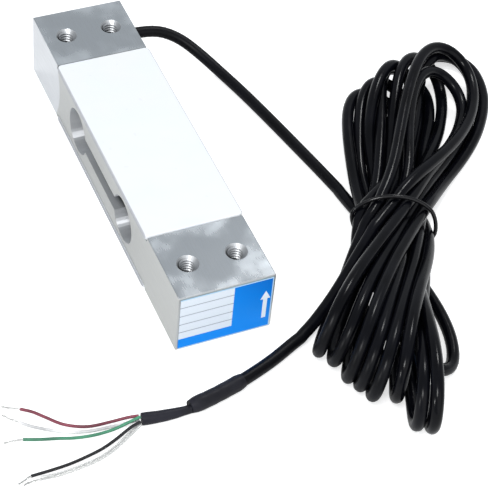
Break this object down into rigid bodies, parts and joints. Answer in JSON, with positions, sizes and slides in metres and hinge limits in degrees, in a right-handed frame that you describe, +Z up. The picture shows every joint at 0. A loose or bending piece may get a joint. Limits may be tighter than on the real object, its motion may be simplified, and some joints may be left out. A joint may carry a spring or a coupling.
{
  "type": "single point load cell",
  "caption": "Rectangular aluminium bending-beam load cell with a double-hole aperture, tapped end pads, white gauge coating and a coiled black signal cable with bare wire ends.",
  "frame": {"origin": "centre of the beam's underside, on the plane that the part and its cable lie on", "axes": "+X along the beam towards the labelled load end, +Y across the beam towards the side that the cable leaves, +Z up from the underside to the top face"},
  "size_m": [0.187, 0.198, 0.0223],
  "materials": {
    "aluminium": "satin, finely brushed",
    "white_silicone": "soft satin",
    "label": "satin film, pale panel with blue fields",
    "black_sheath": "smooth satin",
    "tie_black": "smooth satin",
    "heat_shrink": "dull satin",
    "sealant_black": "matt",
    "insulation_red": "satin",
    "insulation_white": "satin",
    "insulation_green": "satin",
    "insulation_black": "satin",
    "drain_sleeve": "clear, slightly milky",
    "tinned_strands": "tinned copper",
    "gauge_foil": "foil on a thin film",
    "strip_copper": "copper tabs on a thin film",
    "board_green": "satin",
    "resistor_black": "satin",
    "wire_enamel": "enamelled copper",
    "core_red": "satin",
    "core_white": "satin",
    "core_green": "satin",
    "core_black": "satin"
  },
  "bodies": {
    "root": {"beam": "aluminium", "potting_top": "white_silicone", "potting_bottom": "white_silicone", "name_label": "label", "cable_lead": "black_sheath", "cable_hank": "black_sheath", "cable_tail": "black_sheath", "cable_tie": "tie_black", "heat_shrink_rear": "heat_shrink", "heat_shrink_front": "heat_shrink", "cable_sealant": "sealant_black", "conductor_red": "insulation_red", "conductor_white": "insulation_white", "conductor_green": "insulation_green", "conductor_black": "insulation_black", "shield_drain": "drain_sleeve", "tip_red": "tinned_strands", "tip_white": "tinned_strands", "tip_green": "tinned_strands", "tip_black": "tinned_strands", "tip_drain": "tinned_strands", "strain_gauge_top_fixed": "gauge_foil", "strain_gauge_top_load": "gauge_foil", "strain_gauge_bottom_fixed": "gauge_foil", "strain_gauge_bottom_load": "gauge_foil", "terminal_strip_top": "strip_copper", "terminal_strip_bottom": "strip_copper", "compensation_board": "board_green", "zero_resistor": "resistor_black", "span_resistor": "resistor_black", "temperature_resistor": "resistor_black", "gauge_wire_a": "wire_enamel", "gauge_wire_b": "wire_enamel", "jumper_top_a": "wire_enamel", "jumper_top_b": "wire_enamel", "jumper_bottom": "wire_enamel", "link_wire_a": "wire_enamel", "link_wire_b": "wire_enamel", "inner_red": "core_red", "inner_white": "core_white", "inner_green": "core_green", "inner_black": "core_black"}
  },
  "joints": []
}
